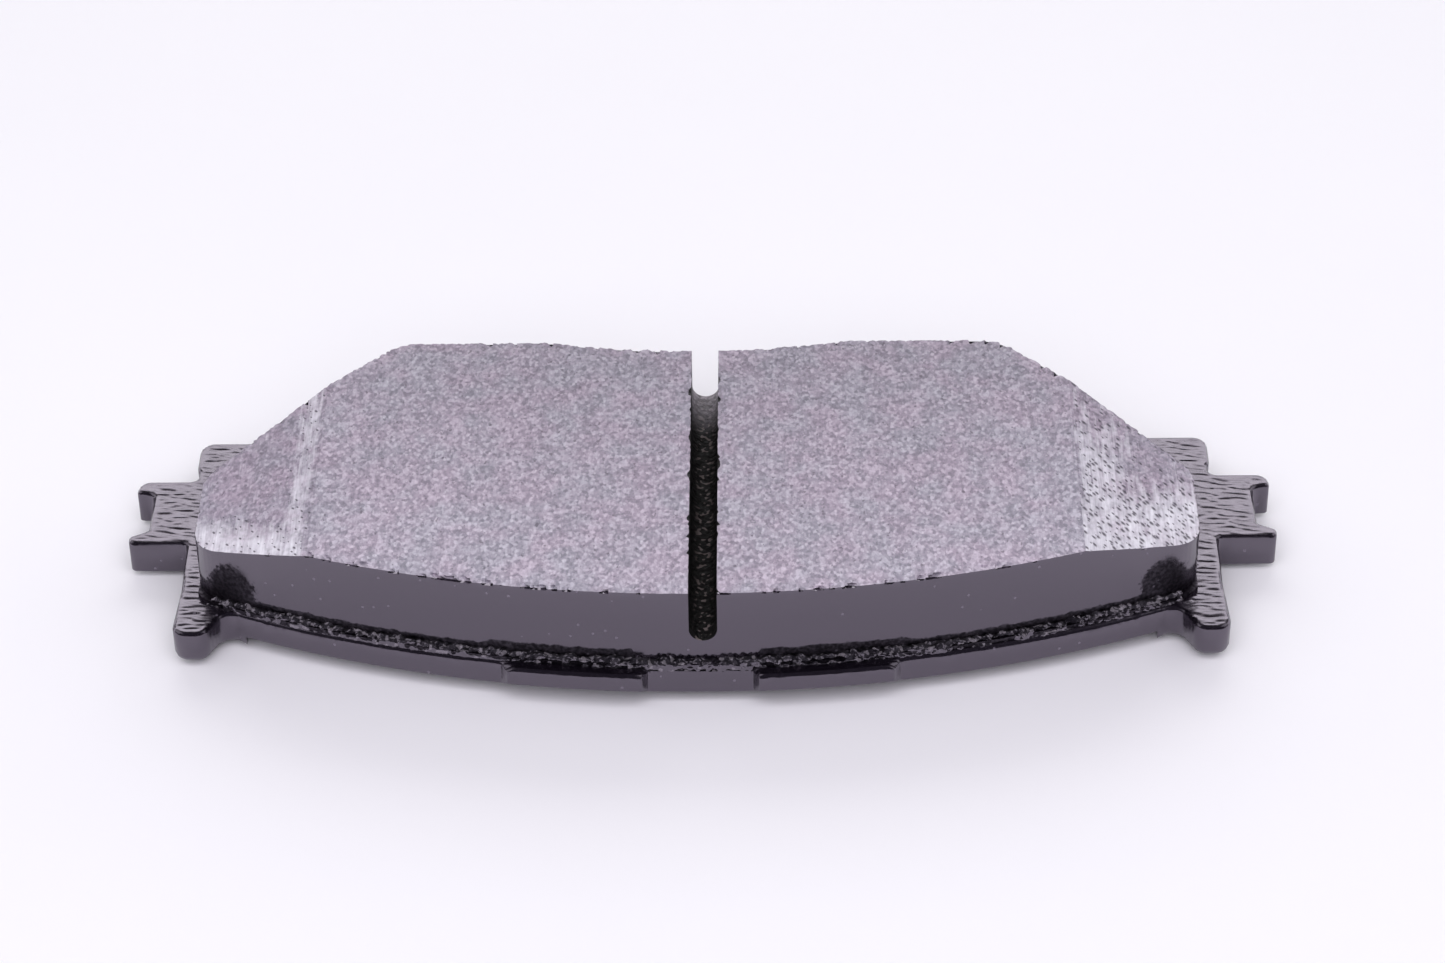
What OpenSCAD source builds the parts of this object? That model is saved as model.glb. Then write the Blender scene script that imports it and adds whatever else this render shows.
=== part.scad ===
// Disc brake pad: a stamped steel backing plate that carries a moulded friction
// block on its front and a bonded noise shim on its back.
//
// X runs along the pad, Y points to the rotor's axis and Z out of the friction
// face. The origin is the middle of the outline, on the back of the shim.

/* [Plate] */
// Width over the feet and shoulders, without the ears
body_w = 140.4; // [120:0.2:170]
// Height, from the outer bumps to the inner edge
pad_h = 59.2; // [50:0.2:72]
// Thickness of the steel
plate_t = 5; // [3:0.5:8]
// Radius of the outer edge about the rotor's axis
outer_r = 163; // [140:1:220]
// Radius on the small corners of the outline
corner_r = 0.5; // [0.2:0.1:0.8]

/* [Outer edge] */
// How far the bumps stand out of the outer edge
bump_out = 1.25; // [0.5:0.25:3]
// Distance from the middle to where each bump begins
bump_from = 7.8; // [4:0.2:14]
// Length of each bump
bump_len = 17.5; // [10:0.5:22]
// How far the flat between the bumps is set in from the outer edge
recess_in = 0.6; // [0:0.1:1.5]
// Slope of the bump ends, as the run of each step
step_run = 1; // [0.5:0.1:2]
// Width of the bevel on the back of the outer edge, between the feet
bevel_w = 1.8; // [0.6:0.1:2.5]
// Rise of the bevel for each millimetre of its width
bevel_rise = 0.8; // [0.5:0.05:1]
// Distance from each valley to where the bevel stops
bevel_stop = 2.7; // [2.5:0.1:5]

/* [Feet and shoulders] */
// Width of each foot at its tip
foot_w = 4.4; // [4:0.2:8]
// Extra width of each foot at its root
foot_flare = 2.4; // [1:0.2:4]
// How far each foot reaches past the outer edge
foot_out = 4.7; // [4:0.1:8]
// Radius on the corners of the feet
foot_r = 2; // [0.5:0.1:2]
// Radius in the valley between the outer edge and a foot
valley_r = 2; // [0.5:0.1:2.5]
// How far the neck between a foot and an ear is waisted in
neck_in = 0.5; // [0:0.1:2]
// Radius of the waist
neck_r = 15; // [5:1:15]
// Distance from the inner edge down to the shoulders
shoulder_drop = 8.4; // [6:0.2:10]
// Radius on the corners of the shoulders
shoulder_r = 2; // [0.5:0.1:2.5]

/* [Ears] */
// How far each ear stands out of the plate
ear_len = 7.8; // [6:0.2:14]
// Height of each ear, which slides in the bracket
ear_h = 13.7; // [12:0.1:18]
// Distance from the inner edge down to the middle of the ears
ear_drop = 23.85; // [21:0.05:25]
// Radius at the outer side of an ear's root
outer_root_r = 0.6; // [0.3:0.1:2]
// Radius at the inner side of an ear's root
inner_root_r = 1.2; // [0.5:0.1:2]
// How far the shoulder is relieved beside the ear
relief_in = 0.6; // [0:0.1:1]
// Height of that relief
relief_h = 3.2; // [2:0.1:4]
// Radius on the outer prong's corner
outer_prong_r = 0.9; // [0.3:0.1:1]
// Radius on the inner prong's corner
inner_prong_r = 1.8; // [0.5:0.1:1.8]
// Depth of the notch in the ear's end
notch_deep = 2.5; // [2:0.1:5]
// Width of the outer prong at its tip
outer_prong_tip = 1.6; // [1.6:0.1:3]
// Width of the outer prong at its root
outer_prong_root = 2.9; // [2.5:0.1:4]
// Width of the inner prong at its tip
inner_prong_tip = 2.5; // [2.5:0.1:3.5]
// Width of the inner prong at its root
inner_prong_root = 2.9; // [2.8:0.1:4]
// Radius in the notch's inner corner
notch_r = 1.2; // [0.5:0.1:1.5]

/* [Friction block] */
// Bare margin of the plate along the block's curved and slanted edges
edge_margin = 1.5; // [1:0.1:3]
// Bare margin of the plate at each end of the block
end_margin = 3.4; // [2:0.1:6]
// Distance of the block and its underlayer from the plate's middle
block_shift = -0.5; // [-0.5:0.1:0.5]
// Thickness of the friction material
friction_t = 9.8; // [6:0.2:14]
// Length cut off each inner corner, at 45 degrees
corner_cut = 25.3; // [20:0.1:28]
// Radius of the hollow in the inner edge
inner_r = 101; // [80:1:120]
// Depth of that hollow at the middle
inner_dip = 2.1; // [0.5:0.1:3]
// Radius on the block's outer corners
outer_corner_r = 5.5; // [3:0.1:6]
// Radius where the slanted corner meets the end
end_corner_r = 5; // [3:0.1:8]
// Radius where the slanted corner meets the inner edge
top_corner_r = 6; // [3:0.1:8]
// Length of the ramp ground on each end
ramp_len = 15.9; // [8:0.1:20]
// Slope of the ramp, in degrees
ramp_angle = 13.3; // [8:0.1:18]
// Width of the slot
slot_w = 3.7; // [2:0.1:6]
// Distance of the slot from the pad's middle
slot_x = 0.4; // [-2:0.1:2]
// Friction material left under the slot
slot_web = 1.8; // [1:0.1:3]

/* [Underlayer and bond] */
// Thickness of the adhesive film on the plate
bond_t = 0.15; // [0.1:0.05:0.3]
// Thickness of the underlayer
underlayer_t = 2; // [1:0.1:3]
// Width of the flash squeezed out around the block's foot
flash_w = 1; // [0.5:0.1:1]
// Height of the flash
flash_t = 0.6; // [0.4:0.1:1]
// Radius of the retention holes, which the underlayer fills
hole_r = 6; // [3:0.5:8]
// Distance from the middle to the two inner holes
inner_hole_x = 18; // [14:1:22]
// Distance from the middle to the two outer holes
outer_hole_x = 46; // [38:1:46]

/* [Noise shim] */
// Bare margin of the plate around the shim's curved and slanted edges
shim_margin = 3.5; // [1.5:0.5:4]
// Thickness of the adhesive
shim_adhesive_t = 0.1; // [0.05:0.05:0.2]
// Thickness of each rubber coat
shim_rubber_t = 0.15; // [0.1:0.05:0.3]
// Thickness of the steel core
shim_core_t = 0.5; // [0.3:0.1:1]

/* [Hidden] */

// Steps in a small corner and in each long arc
CORNER_STEPS = 8;
ARC_STEPS = 14;
// Flats on a drilled hole and on the slot's rounded floor
ROUND_FN = 96;
// Flats on the bevel's full circle
BEVEL_FN = 360;
// Extra length of a cut that runs out of its piece
CUT = 1;

// Half widths and the outer edge
body_x = body_w / 2;
ear_x = body_x + ear_len;
far_y = pad_h / 2;
bump_r = outer_r + bump_out;
bump_to = bump_from + bump_len;
bevel_r = outer_r - bevel_w;
axis_y = sqrt(bump_r * bump_r - bump_from * bump_from) - far_y;

// Ears
ear_y = far_y - ear_drop;
ear_near = ear_y - ear_h / 2;
ear_far = ear_y + ear_h / 2;
notch_x = ear_x - notch_deep;
neck_x = body_x - neck_in;

// Feet and shoulders
foot_root_x = body_x - foot_w - foot_flare;
bevel_x = foot_root_x - bevel_stop;
foot_y = arc_y(outer_r, foot_root_x) - foot_out;
neck_y = (foot_y + ear_near) / 2;
shoulder_y = far_y - shoulder_drop;

// Friction block: X + Y is the same all along its slanted corner
block_x = body_x - end_margin;
block_far_y = far_y - edge_margin;
slant = block_x + block_far_y - corner_cut;
plate_slant = slant + edge_margin * sqrt(2);
ramp_drop = ramp_len * tan(ramp_angle);

// Heights of the layers, from the back of the shim
core_z = shim_rubber_t;
inner_rubber_z = core_z + shim_core_t;
adhesive_z = inner_rubber_z + shim_rubber_t;
plate_z = adhesive_z + shim_adhesive_t;
bond_z = plate_z + plate_t;
underlayer_z = bond_z + bond_t;
friction_z = underlayer_z + underlayer_t;
face_z = friction_z + friction_t;

// Y on a circle about the rotor's axis, on the side away from the rotor
function arc_y(r, x) = axis_y - sqrt(r * r - x * x);

// Points on that circle between two X values, without the ends
function arc_between(r, x0, x1, steps) =
    [for (i = [1 : steps - 1]) let (x = x0 + (x1 - x0) * i / steps) [x, arc_y(r, x), 0]];

// Points of the hollow inner edge from a half width to the middle
function hollow(r, middle_y, half) =
    [for (i = [0 : ARC_STEPS]) let (x = half * (1 - i / ARC_STEPS))
        [x, middle_y + r - sqrt(r * r - x * x), 0]];

// Half width of a hollow of a given radius and depth
function hollow_half(r, dip) = sqrt(r * r - (r - dip) * (r - dip));

function flat(p) = [p[0], p[1]];
function unit(v) = v / norm(v);

// Half the angle at the corner q, between its neighbours p and s
function half_angle(p, q, s) =
    acos(unit(flat(p) - flat(q)) * unit(flat(s) - flat(q))) / 2;

// Points that round the corner q with a radius r
function round_corner(p, q, s, r) =
    r == 0 ? [flat(q)] :
    let (
        to_p = unit(flat(p) - flat(q)),
        to_s = unit(flat(s) - flat(q)),
        half = half_angle(p, q, s),
        centre = flat(q) + unit(to_p + to_s) * r / sin(half),
        first = flat(q) + to_p * r / tan(half) - centre,
        side = sign(to_p[0] * to_s[1] - to_p[1] * to_s[0]),
        start = atan2(first[1], first[0]),
        sweep = -side * (180 - 2 * half)
    )
    [for (i = [0 : CORNER_STEPS]) let (a = start + sweep * i / CORNER_STEPS)
        centre + r * [cos(a), sin(a)]];

// Share of the side between two corners' roundings that the side has room for
function side_share(a, b, a_reach, b_reach) =
    a_reach + b_reach == 0 ? 1 : min(1, norm(flat(b) - flat(a)) / (a_reach + b_reach));

// A closed outline from corners [x, y, radius], with each radius limited by its walls
function rounded(corners) =
    let (
        n = len(corners),
        before = [for (i = [0 : n - 1]) (i + n - 1) % n],
        after = [for (i = [0 : n - 1]) (i + 1) % n],
        reach = [for (i = [0 : n - 1]) corners[i][2] == 0 ? 0 :
            corners[i][2] / tan(half_angle(corners[before[i]], corners[i], corners[after[i]]))],
        share = [for (i = [0 : n - 1])
            side_share(corners[i], corners[after[i]], reach[i], reach[after[i]])]
    )
    [for (i = [0 : n - 1])
        each round_corner(corners[before[i]], corners[i], corners[after[i]],
            corners[i][2] * min(share[before[i]], share[i]))];

// The right half of an outline, with its mirror image on the left
function both_sides(half) =
    concat(half, [for (i = [len(half) - 1 : -1 : 0]) if (half[i][0] > 0)
        [-half[i][0], half[i][1], half[i][2]]]);

// Right half of the friction block's outline, grown by g
function block_half(g) =
    let (
        r = outer_r - edge_margin + g,
        end_x = block_x + g,
        inner_y = block_far_y + g,
        cut_line = slant + g * sqrt(2),
        dip_r = inner_r - g
    )
    concat(
        [[0, arc_y(r, 0), 0]],
        arc_between(r, 0, end_x, ARC_STEPS),
        [
            [end_x, arc_y(r, end_x), outer_corner_r + g],
            [end_x, cut_line - end_x, end_corner_r + g],
            [cut_line - inner_y, inner_y, top_corner_r + g]
        ],
        hollow(dip_r, inner_y - inner_dip, hollow_half(dip_r, inner_dip))
    );

// Right half of the ear's outline, with its notched end
function ear_half() = [
    [neck_x + neck_in / 2, ear_near, outer_root_r],
    [ear_x, ear_near, outer_prong_r],
    [ear_x, ear_near + outer_prong_tip, corner_r / 2],
    [notch_x, ear_near + outer_prong_root, corner_r],
    [notch_x, ear_far - inner_prong_root, notch_r],
    [ear_x, ear_far - inner_prong_tip, corner_r],
    [ear_x, ear_far, inner_prong_r],
    [body_x - relief_in, ear_far, inner_root_r],
    [body_x, ear_far + relief_h, shoulder_r]
];

// Right half of the backing plate's outline
function plate_half() =
    let (
        inner_dip_r = inner_r - edge_margin,
        step_x = bump_to + step_run
    )
    concat(
        [
            [bump_from - step_run, arc_y(outer_r, 0) + recess_in, corner_r],
            [bump_from, arc_y(bump_r, bump_from), corner_r]
        ],
        arc_between(bump_r, bump_from, bump_to, ARC_STEPS / 2),
        [
            [bump_to, arc_y(bump_r, bump_to), corner_r],
            [step_x, arc_y(outer_r, step_x), corner_r]
        ],
        arc_between(outer_r, step_x, foot_root_x, ARC_STEPS / 2),
        [
            [foot_root_x, arc_y(outer_r, foot_root_x), valley_r],
            [body_x - foot_w, foot_y, foot_r],
            [body_x, foot_y, foot_r],
            [neck_x, neck_y, neck_r]
        ],
        ear_half(),
        [
            [body_x, shoulder_y, shoulder_r],
            [plate_slant - shoulder_y, shoulder_y, shoulder_r],
            [plate_slant - far_y, far_y, top_corner_r + edge_margin]
        ],
        hollow(inner_dip_r, far_y - inner_dip, hollow_half(inner_dip_r, inner_dip))
    );

// A slab with the block's outline grown by g, shifted along the pad
module block_slab(z, t, g = 0, shift = block_shift) {
    translate([shift, 0, z])
        linear_extrude(t)
            polygon(rounded(both_sides(block_half(g))));
}

// Cylinders on the four retention holes
module at_holes(z, h) {
    for (x = [-outer_hole_x, -inner_hole_x, inner_hole_x, outer_hole_x])
        translate([x, 0, z])
            cylinder(h = h, r = hole_r, $fn = ROUND_FN);
}

// The cone that bevels the back of the outer edge, about the rotor's axis
module bevel_cut() {
    run = bump_out + bevel_w + CUT;
    intersection() {
        translate([0, axis_y, plate_z])
            rotate_extrude($fn = BEVEL_FN)
                polygon([[bevel_r, -CUT], [bevel_r, 0], [bevel_r + run, run * bevel_rise],
                    [bevel_r + run, -CUT]]);
        translate([-bevel_x, -pad_h, plate_z - CUT])
            cube([2 * bevel_x, pad_h, plate_t + 2 * CUT]);
    }
}

// The stamped steel plate, with its feet, shoulders, ears and bumps
module backing_plate() {
    color("#26262b")
        difference() {
            translate([0, 0, plate_z])
                linear_extrude(plate_t)
                    polygon(rounded(both_sides(plate_half())));
            at_holes(plate_z - CUT, plate_t + 2 * CUT);
            bevel_cut();
        }
}

// The adhesive sprayed on the plate under the block
module bond_film() {
    color("#3a2c20")
        difference() {
            block_slab(bond_z, bond_t);
            at_holes(bond_z - CUT, bond_t + 2 * CUT);
        }
}

// The layer between the plate and the block, with its flash and the plugs
// that it forms in the retention holes
module underlayer() {
    color("#4b4744") {
        difference() {
            block_slab(bond_z, flash_t, flash_w);
            block_slab(bond_z - CUT, bond_t + CUT);
        }
        block_slab(underlayer_z, underlayer_t);
        at_holes(plate_z, plate_t + bond_t + underlayer_t / 2);
    }
}

// Front view of the block: flat on top, with a ramp at each end
module ramp_profile() {
    ramp_x = block_x - ramp_len;
    low_z = face_z - ramp_drop;
    translate([block_shift, 0])
        polygon([[-block_x, friction_z], [block_x, friction_z], [block_x, low_z],
            [ramp_x, face_z], [-ramp_x, face_z], [-block_x, low_z]]);
}

// The slot, open at both edges and at the face, with a rounded floor
module slot_cut() {
    round_z = friction_z + slot_web + slot_w / 2;
    translate([slot_x, 0, round_z]) {
        rotate([90, 0, 0])
            cylinder(h = pad_h + 2 * CUT, d = slot_w, center = true, $fn = ROUND_FN);
        translate([-slot_w / 2, -pad_h / 2 - CUT, 0])
            cube([slot_w, pad_h + 2 * CUT, face_z - round_z + CUT]);
    }
}

// The moulded friction block
module friction_block() {
    color("#8b8088")
        difference() {
            intersection() {
                block_slab(friction_z, friction_t);
                rotate([90, 0, 0])
                    linear_extrude(pad_h + 2 * CUT, center = true)
                        ramp_profile();
            }
            slot_cut();
        }
}

// One layer of the shim
module shim_layer(z, t) {
    block_slab(z, t, edge_margin - shim_margin, shift = 0);
}

// The pressure-sensitive adhesive that holds the shim on the plate
module shim_adhesive() {
    color("#c9b27c")
        shim_layer(adhesive_z, shim_adhesive_t);
}

// The rubber coat on the plate's side of the shim
module shim_inner_rubber() {
    color("#1d1d1f")
        shim_layer(inner_rubber_z, shim_rubber_t);
}

// The shim's steel core
module shim_steel_core() {
    color("#9a9ca0")
        shim_layer(core_z, shim_core_t);
}

// The rubber coat on the caliper's side, which the piston presses on
module shim_outer_rubber() {
    color("#202022")
        shim_layer(0, shim_rubber_t);
}

backing_plate();
bond_film();
underlayer();
friction_block();
shim_adhesive();
shim_inner_rubber();
shim_steel_core();
shim_outer_rubber();
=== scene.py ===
"""Looks of a disc brake pad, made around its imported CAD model.

X runs along the pad, Y points to the rotor's axis and Z out of the friction face.
"""

import math

import bpy
import numpy as np
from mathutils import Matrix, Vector, noise


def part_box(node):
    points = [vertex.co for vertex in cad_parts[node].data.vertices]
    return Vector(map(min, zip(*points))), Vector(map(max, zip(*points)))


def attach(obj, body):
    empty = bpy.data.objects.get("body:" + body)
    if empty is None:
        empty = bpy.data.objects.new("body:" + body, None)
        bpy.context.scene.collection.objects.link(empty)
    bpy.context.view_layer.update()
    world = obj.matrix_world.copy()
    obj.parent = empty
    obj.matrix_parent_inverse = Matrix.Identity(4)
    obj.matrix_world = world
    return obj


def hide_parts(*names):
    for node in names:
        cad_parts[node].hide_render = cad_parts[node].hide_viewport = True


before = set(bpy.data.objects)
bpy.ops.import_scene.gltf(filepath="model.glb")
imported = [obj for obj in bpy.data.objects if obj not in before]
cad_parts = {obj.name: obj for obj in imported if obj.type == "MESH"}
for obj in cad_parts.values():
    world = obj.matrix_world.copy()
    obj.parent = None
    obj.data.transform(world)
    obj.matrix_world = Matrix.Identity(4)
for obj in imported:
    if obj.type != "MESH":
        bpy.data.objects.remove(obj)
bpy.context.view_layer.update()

bpy.context.tool_settings.mesh_select_mode = (False, False, True)
MM = 0.001

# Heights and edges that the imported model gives
PLATE_LOW, PLATE_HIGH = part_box("backing_plate")
BLOCK_LOW, BLOCK_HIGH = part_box("friction_block")
PLATE_BACK = PLATE_LOW.z
PLATE_TOP = PLATE_HIGH.z
FACE = BLOCK_HIGH.z
BLOCK_FOOT = BLOCK_LOW.z
BLOCK_MIDDLE = (BLOCK_LOW.x + BLOCK_HIGH.x) / 2
BLOCK_END = (BLOCK_HIGH.x - BLOCK_LOW.x) / 2

# The ramps, the slot and the arc of the friction block
RAMP_LENGTH = 15.9 * MM
RAMP_START = BLOCK_END - RAMP_LENGTH
RAMP_ANGLE = math.radians(13.3)
SLOT_X = 0.4 * MM
SLOT_HALF = 1.85 * MM
ROTOR_AXIS = (0, 134.46 * MM, 0)
BLOCK_RADIUS = 161.5 * MM

# A difference in height that counts as none
HAIR = 0.01 * MM

# The inner side, which no detail of the block or its flash passes
INNER_LIMIT = PLATE_HIGH.y - 0.05 * MM

# The plate's rounded edges: on top, at the back, and at the back of the feet
ROLL = 0.5 * MM
BACK_ROUND = 0.12 * MM
FOOT_ROUND = 1.1 * MM
FOOT_FROM_X = (60 * MM, 62 * MM)
FOOT_FROM_Y = (12 * MM, 17 * MM)

# The cuts across the plate's ends and along its two long sides, and the core that is left whole
END_GRID = (0.35 * MM, 0.2 * MM)
ARC_GRID = 1.2 * MM
CORE_X = 58 * MM
CORE_Y = (-15 * MM, 25 * MM)

# The retention holes, whose rims under the block stay sharp
HOLES_X = (-46 * MM, -18 * MM, 18 * MM, 46 * MM)
CLEAR_OF_HOLE = 7 * MM

# Where the ridges begin inside the outline, and where the foot's pass into the ear's
PLAIN_EDGE = (0.3 * MM, 1.0 * MM)
RIDGES_MEET_Y = (3 * MM, 7 * MM)

# The block's ground face: its cuts across X and Y, and its grain
FACE_GRID = (0.3 * MM, 0.5 * MM)
GRAIN_SIZE = 0.8 * MM
GRAIN_RISE = 0.09 * MM

# The chips of its rim, and the stretch of the outer edge that has the most of them
CHIP_CUTS = (0.35 * MM, 0.8 * MM)
CHIP_REACH = 1.2 * MM
CHIP_FALL = 0.5
SLOT_CHIPS = 0.35
CHIPPED_X = -33 * MM
CHIPPED_REACH = 30 * MM

# The bead of flash: its radius, its mesh, its place, and its lumps and pebbles (size, height)
BEAD_RADIUS = 1.2 * MM
BEAD_VOXEL = 0.21 * MM
BEAD_SINK = 0.1 * MM
BEAD_CUT = 0.3 * MM
LUMPS = (3 * MM, 0.7 * MM)
PEBBLES = (0.9 * MM, -0.7 * MM)

# The painted dark reflection on each outer corner: its middle from the block's, its height, and its two
# reaches
PATCH_X = 61.8 * MM
PATCH_UP = 2.5 * MM
PATCH_REACH = (3.3 * MM, 4.6 * MM)

# The pits in the ramps
PIT_SLANT = math.radians(32)
PIT_SIZE = (0.62 * MM, 1.3 * MM, 1)


# ---------------------------------------------------------------- modelling

def only(piece):
    """Makes this the one selected and active piece."""
    bpy.ops.object.select_all(action="DESELECT")
    piece.select_set(True)
    bpy.context.view_layer.objects.active = piece


def merged_copy(node, name):
    """A piece with a merged copy of a CAD node's mesh, its flat faces made whole."""
    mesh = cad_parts[node].data.copy()
    mesh.name = name
    mesh.materials.clear()
    piece = bpy.data.objects.new(name, mesh)
    bpy.context.scene.collection.objects.link(piece)
    only(piece)
    bpy.ops.mesh.customdata_custom_splitnormals_clear()
    bpy.ops.object.mode_set(mode="EDIT")
    bpy.ops.mesh.select_all(action="SELECT")
    bpy.ops.mesh.remove_doubles(threshold=0.002 * MM)
    bpy.ops.mesh.dissolve_limited(angle_limit=math.radians(0.3))
    bpy.ops.object.mode_set(mode="OBJECT")
    return piece


def choose_faces(piece, test):
    """Selects the faces whose centre and normal pass a test."""
    mesh = piece.data
    mesh.vertices.foreach_set("select", [False] * len(mesh.vertices))
    mesh.edges.foreach_set("select", [False] * len(mesh.edges))
    mesh.polygons.foreach_set("select", [test(f.center, f.normal) for f in mesh.polygons])


def hide_faces(piece, test):
    """Hides the faces that pass a test, so that the next cuts leave them whole."""
    only(piece)
    choose_faces(piece, test)
    bpy.ops.object.mode_set(mode="EDIT")
    bpy.ops.mesh.hide(unselected=False)
    bpy.ops.object.mode_set(mode="OBJECT")


def cut_across(piece, axis, places):
    """Cuts the shown faces across an axis, at each place."""
    normal = [0, 0, 0]
    normal[axis] = 1
    only(piece)
    bpy.ops.object.mode_set(mode="EDIT")
    for place in places:
        bpy.ops.mesh.select_all(action="SELECT")
        bpy.ops.mesh.bisect(plane_co=[place * n for n in normal], plane_no=normal)
    bpy.ops.object.mode_set(mode="OBJECT")


def reveal(piece):
    """Shows the hidden faces again."""
    only(piece)
    bpy.ops.object.mode_set(mode="EDIT")
    bpy.ops.mesh.reveal(select=False)
    bpy.ops.object.mode_set(mode="OBJECT")


def steps(low, high, step):
    """Places between two ends, a step apart."""
    count = max(1, round((high - low) / step))
    return [low + (high - low) * i / count for i in range(1, count)]


def points(piece):
    """The piece's vertices as an array."""
    co = np.zeros(len(piece.data.vertices) * 3)
    piece.data.vertices.foreach_get("co", co)
    return co.reshape(-1, 3)


def set_points(piece, co):
    """Puts the piece's vertices at these places."""
    piece.data.vertices.foreach_set("co", co.ravel())
    piece.data.update()


def rim_of(piece, test):
    """Ends of the edges between a face that passes a test and one that doesn't, as segments in X and Y."""
    mesh = piece.data
    sides = {}
    for face in mesh.polygons:
        for key in face.edge_keys:
            sides.setdefault(key, []).append(test(face.center, face.normal))
    rim = [key for key, passed in sides.items() if len(passed) == 2 and passed[0] != passed[1]]
    ends = [[mesh.vertices[a].co, mesh.vertices[b].co] for a, b in rim]
    return np.array([[[p.x, p.y] for p in pair] for pair in ends])


def nearest_on(segments, co, batch=2000):
    """For each point, its distance in plan to the nearest segment and the way there."""
    a = segments[:, 0]
    along = segments[:, 1] - a
    length2 = np.maximum((along ** 2).sum(1), 1e-16)
    gap = np.zeros(len(co))
    way = np.zeros((len(co), 2))
    for start in range(0, len(co), batch):
        p = co[start:start + batch, None, :2] - a[None]
        share = np.clip((p * along[None]).sum(2) / length2, 0, 1)
        off = share[:, :, None] * along[None] - p
        far = np.sqrt((off ** 2).sum(2))
        best = far.argmin(1)
        rows = np.arange(len(best))
        gap[start:start + batch] = far[rows, best]
        way[start:start + batch] = off[rows, best]
    return gap, way


def ease(value, low, high):
    """0 below low, 1 above high and smooth between them."""
    t = np.clip((value - low) / (high - low), 0, 1)
    return t * t * (3 - 2 * t)


def rounding(gap, radius):
    """How far a rounded edge lies below the flat, at a distance from the outline."""
    reach = np.clip(radius - gap, 0, None)
    return radius - np.sqrt(np.maximum(radius ** 2 - reach ** 2, 0))


def weigh(piece, name, weights):
    """A vertex group from an array of weights."""
    group = piece.vertex_groups.new(name=name)
    levels = np.round(np.clip(weights, 0, 1), 2)
    for level in np.unique(levels):
        if level > 0:
            group.add(np.flatnonzero(levels == level).tolist(), float(level), "REPLACE")
    return name


def cloud_grain(depth=1):
    """Soft noise for a displacement."""
    grain = bpy.data.textures.new("cloud grain", "CLOUDS")
    grain.noise_scale = 1
    grain.noise_depth = depth
    return grain


def pebble_grain():
    """Cells that are lowest in their middles, which a negative height turns into pebbles."""
    grain = bpy.data.textures.new("pebble grain", "VORONOI")
    grain.noise_scale = 1
    grain.noise_intensity = 1
    return grain


def wavy_lines(wander):
    """Wavy ridges for a displacement."""
    grain = bpy.data.textures.new("wavy lines", "WOOD")
    grain.wood_type = "BANDNOISE"
    grain.noise_basis_2 = "SIN"
    grain.noise_scale = 0.3
    grain.turbulence = wander
    return grain


def raise_by(grain, piece, group, size, height, turn=0, direction="NORMAL"):
    """Raises and sinks a vertex group by a grain, whose size is given along X, Y and Z."""
    guide = bpy.data.objects.new(group + " guide", None)
    bpy.context.scene.collection.objects.link(guide)
    guide.scale = size
    guide.rotation_euler.z = math.radians(turn)
    bpy.context.view_layer.update()
    only(piece)
    displace = piece.modifiers.new(group, "DISPLACE")
    displace.texture = grain
    displace.texture_coords = "OBJECT"
    displace.texture_coords_object = guide
    displace.vertex_group = group
    displace.direction = direction
    displace.mid_level = 0.5
    displace.strength = height
    bpy.ops.object.modifier_apply(modifier=displace.name)
    bpy.data.objects.remove(guide)
    bpy.data.textures.remove(grain)


def finish_piece(piece, node, smooth=50):
    """Smooths the piece's shading, hides its CAD node and puts it under the root body."""
    only(piece)
    bpy.ops.object.shade_smooth_by_angle(angle=math.radians(smooth))
    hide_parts(node)
    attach(piece, "root")


# ------------------------------------------------------------ backing plate

def make_plate(coat):
    """The stamped plate, with rolled top edges and the ridges that the stamping left on its ends."""
    plate = merged_copy("backing_plate", "plate")
    outline = rim_of(plate, lambda c, n: n.z > 0.9)
    middles = outline.mean(1)
    off_holes = [all(math.dist(m, (x, 0)) > CLEAR_OF_HOLE for x in HOLES_X) for m in middles]
    outline = outline[off_holes]

    cut_across(plate, 0, [-CORE_X, CORE_X])
    cut_across(plate, 1, CORE_Y)
    hide_faces(plate, lambda c, n: abs(c.x) < CORE_X and CORE_Y[0] < c.y < CORE_Y[1])
    across, along = END_GRID
    cut_across(plate, 1, steps(PLATE_LOW.y, CORE_Y[0], along) + steps(*CORE_Y, along)
               + steps(CORE_Y[1], PLATE_HIGH.y, along))
    cut_across(plate, 0, steps(PLATE_LOW.x, -CORE_X, across) + steps(-CORE_X, CORE_X, ARC_GRID)
               + steps(CORE_X, PLATE_HIGH.x, across))
    reveal(plate)

    co = points(plate)
    gap, _ = nearest_on(outline, co)
    top = co[:, 2] > PLATE_TOP - HAIR
    back = co[:, 2] < PLATE_BACK + HAIR
    at_foot = ease(-co[:, 1], *FOOT_FROM_Y) * ease(abs(co[:, 0]), *FOOT_FROM_X)
    co[top, 2] -= rounding(gap[top], ROLL)
    co[back, 2] += rounding(gap[back], (BACK_ROUND + (FOOT_ROUND - BACK_ROUND) * at_foot)[back])
    set_points(plate, co)

    inside = ease(gap, *PLAIN_EDGE) * top
    foot = ease(-co[:, 1], *RIDGES_MEET_Y)
    weigh(plate, "foot ridges", inside * foot)
    weigh(plate, "ear ridges", inside * (1 - foot))
    raise_by(wavy_lines(7), plate, "foot ridges", size=(9 * MM, 2.3 * MM, 30 * MM),
             height=0.11 * MM, turn=4, direction="Z")
    raise_by(wavy_lines(8), plate, "ear ridges", size=(9 * MM, 2.1 * MM, 30 * MM),
             height=0.09 * MM, turn=-3, direction="Z")
    plate.data.materials.append(coat)
    finish_piece(plate, "backing_plate", smooth=45)


# ----------------------------------------------------------- friction block

def ground(centre, normal):
    """Whether a face of the block is on the ground face or on a ramp."""
    return normal.z > 0.9 and centre.z > FACE - 5 * MM


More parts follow.
